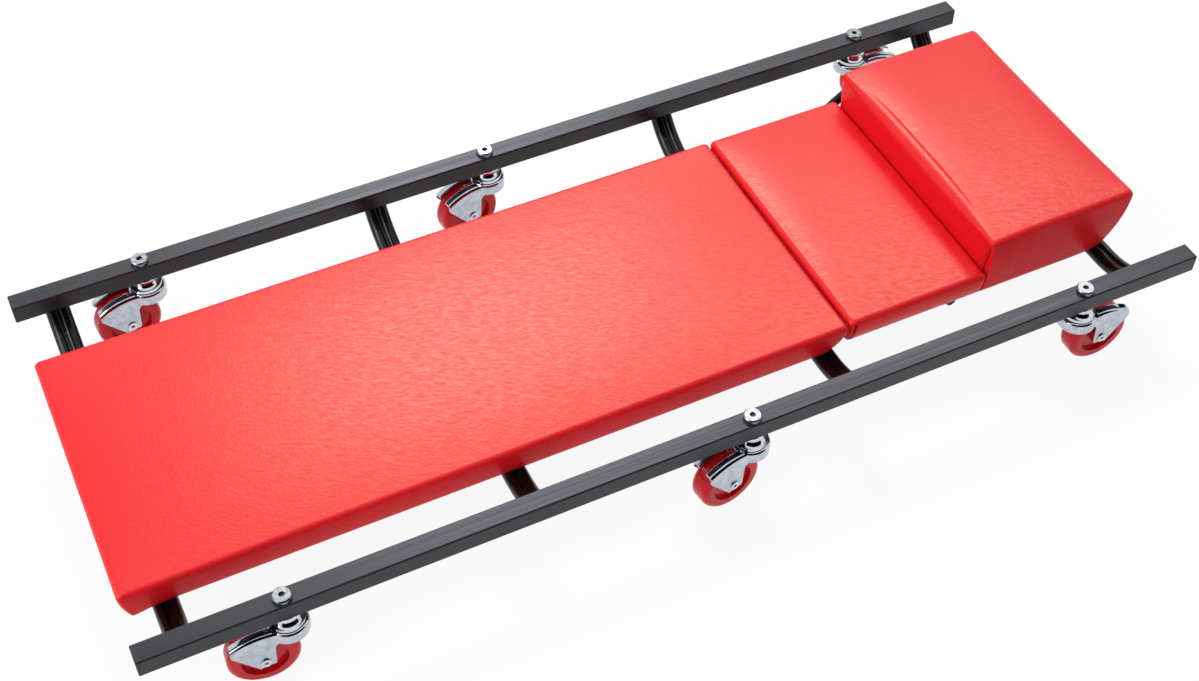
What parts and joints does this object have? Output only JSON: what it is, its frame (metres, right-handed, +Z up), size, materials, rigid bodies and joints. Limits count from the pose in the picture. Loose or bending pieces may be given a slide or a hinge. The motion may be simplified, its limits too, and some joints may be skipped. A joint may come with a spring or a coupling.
{
  "type": "mechanic creeper",
  "caption": "Low rolling creeper with side rails on swivel casters, dropped crossbars, a padded red body board and a tilting padded headrest.",
  "frame": {"origin": "middle of the footprint, on the floor under the wheels", "axes": "+X to the head end, +Y to the right of a user lying on it face up, +Z up"},
  "size_m": [1.022, 0.4506, 0.118],
  "materials": {
    "rail_paint": "satin black powder coat",
    "crossbar_paint": "glossy black enamel",
    "cap_plastic": "black moulded plastic",
    "plywood": "unfinished plywood",
    "black_board": "plywood painted black",
    "red_vinyl": "red upholstery vinyl with a fine grain",
    "zinc_fastener": "zinc-plated steel",
    "bright_nut": "bright nickel-plated steel",
    "bright_cup": "bright zinc-plated steel",
    "ball_steel": "polished steel",
    "zinc_fork": "bright zinc-plated pressed steel",
    "wheel_plastic": "deep red moulded plastic"
  },
  "bodies": {
    "frame": {"rail_left": "rail_paint", "rail_right": "rail_paint", "crossbar_foot": "crossbar_paint", "crossbar_waist": "crossbar_paint", "crossbar_back": "crossbar_paint", "crossbar_head": "crossbar_paint", "end_cap_foot_left": "cap_plastic", "end_cap_head_left": "cap_plastic", "end_cap_foot_right": "cap_plastic", "end_cap_head_right": "cap_plastic", "body_board": "plywood", "body_cushion": "red_vinyl", "board_bolts": "zinc_fastener", "tee_nuts": "zinc_fastener", "cap_nuts": "bright_nut", "hinge_brackets": "crossbar_paint", "hinge_rivets": "zinc_fastener", "stem_foot_left": "bright_cup", "stem_middle_left": "bright_cup", "stem_head_left": "bright_cup", "stem_foot_right": "bright_cup", "stem_middle_right": "bright_cup", "stem_head_right": "bright_cup"},
    "headrest": {"head_board": "black_board", "head_cushion": "red_vinyl", "pillow": "red_vinyl", "hinge_straps": "crossbar_paint", "hinge_screws": "zinc_fastener", "prop_clips": "zinc_fastener", "clip_screws": "zinc_fastener"},
    "prop": {"prop_rod": "crossbar_paint"},
    "swivel_foot_left": {"fork_foot_left": "zinc_fork", "balls_foot_left": "ball_steel", "axle_foot_left": "zinc_fastener"},
    "roller_foot_left": {"wheel_foot_left": "wheel_plastic"},
    "swivel_middle_left": {"fork_middle_left": "zinc_fork", "balls_middle_left": "ball_steel", "axle_middle_left": "zinc_fastener"},
    "roller_middle_left": {"wheel_middle_left": "wheel_plastic"},
    "swivel_head_left": {"fork_head_left": "zinc_fork", "balls_head_left": "ball_steel", "axle_head_left": "zinc_fastener"},
    "roller_head_left": {"wheel_head_left": "wheel_plastic"},
    "swivel_foot_right": {"fork_foot_right": "zinc_fork", "balls_foot_right": "ball_steel", "axle_foot_right": "zinc_fastener"},
    "roller_foot_right": {"wheel_foot_right": "wheel_plastic"},
    "swivel_middle_right": {"fork_middle_right": "zinc_fork", "balls_middle_right": "ball_steel", "axle_middle_right": "zinc_fastener"},
    "roller_middle_right": {"wheel_middle_right": "wheel_plastic"},
    "swivel_head_right": {"fork_head_right": "zinc_fork", "balls_head_right": "ball_steel", "axle_head_right": "zinc_fastener"},
    "roller_head_right": {"wheel_head_right": "wheel_plastic"}
  },
  "joints": [
    {"name": "headrest_tilt", "type": "hinge", "parent": "frame", "child": "headrest", "pos_m": [0.1795, 0, 0.051], "axis": [0, -1, 0], "range_deg": [0, 20]},
    {"name": "prop_swing", "type": "hinge", "parent": "headrest", "child": "prop", "pos_m": [0.303, 0, 0.0418], "axis": [0, -1, 0], "range_deg": [0, 15]},
    {"name": "swivel_foot_left", "type": "hinge", "parent": "frame", "child": "swivel_foot_left", "pos_m": [-0.3885, -0.2055, 0.0636], "axis": [0, 0, 1], "continuous": true},
    {"name": "wheel_spin_foot_left", "type": "hinge", "parent": "swivel_foot_left", "child": "roller_foot_left", "pos_m": [-0.41362, -0.20348, 0.031], "axis": [-0.0802, -0.9968, 0], "continuous": true},
    {"name": "swivel_middle_left", "type": "hinge", "parent": "frame", "child": "swivel_middle_left", "pos_m": [0.038, -0.2055, 0.0636], "axis": [0, 0, 1], "continuous": true},
    {"name": "wheel_spin_middle_left", "type": "hinge", "parent": "swivel_middle_left", "child": "roller_middle_left", "pos_m": [0.01312, -0.20953, 0.031], "axis": [0.1599, -0.9871, 0], "continuous": true},
    {"name": "swivel_head_left", "type": "hinge", "parent": "frame", "child": "swivel_head_left", "pos_m": [0.3885, -0.2055, 0.0636], "axis": [0, 0, 1], "continuous": true},
    {"name": "wheel_spin_head_left", "type": "hinge", "parent": "swivel_head_left", "child": "roller_head_left", "pos_m": [0.4137, -0.20563, 0.031], "axis": [0.0052, 1, 0], "continuous": true},
    {"name": "swivel_foot_right", "type": "hinge", "parent": "frame", "child": "swivel_foot_right", "pos_m": [-0.3885, 0.2055, 0.0636], "axis": [0, 0, 1], "continuous": true},
    {"name": "wheel_spin_foot_right", "type": "hinge", "parent": "swivel_foot_right", "child": "roller_foot_right", "pos_m": [-0.41358, 0.20308, 0.031], "axis": [0.0958, -0.9954, 0], "continuous": true},
    {"name": "swivel_middle_right", "type": "hinge", "parent": "frame", "child": "swivel_middle_right", "pos_m": [-0.038, 0.2055, 0.0636], "axis": [0, 0, 1], "continuous": true},
    {"name": "wheel_spin_middle_right", "type": "hinge", "parent": "swivel_middle_right", "child": "roller_middle_right", "pos_m": [-0.06287, 0.20143, 0.031], "axis": [0.1616, -0.9869, 0], "continuous": true},
    {"name": "swivel_head_right", "type": "hinge", "parent": "frame", "child": "swivel_head_right", "pos_m": [0.3885, 0.2055, 0.0636], "axis": [0, 0, 1], "continuous": true},
    {"name": "wheel_spin_head_right", "type": "hinge", "parent": "swivel_head_right", "child": "roller_head_right", "pos_m": [0.4137, 0.2055, 0.031], "axis": [0, 1, 0], "continuous": true}
  ],
  "couplings": [
    {"joint": "prop_swing", "follows": "headrest_tilt", "ratio": 0.7396}
  ]
}
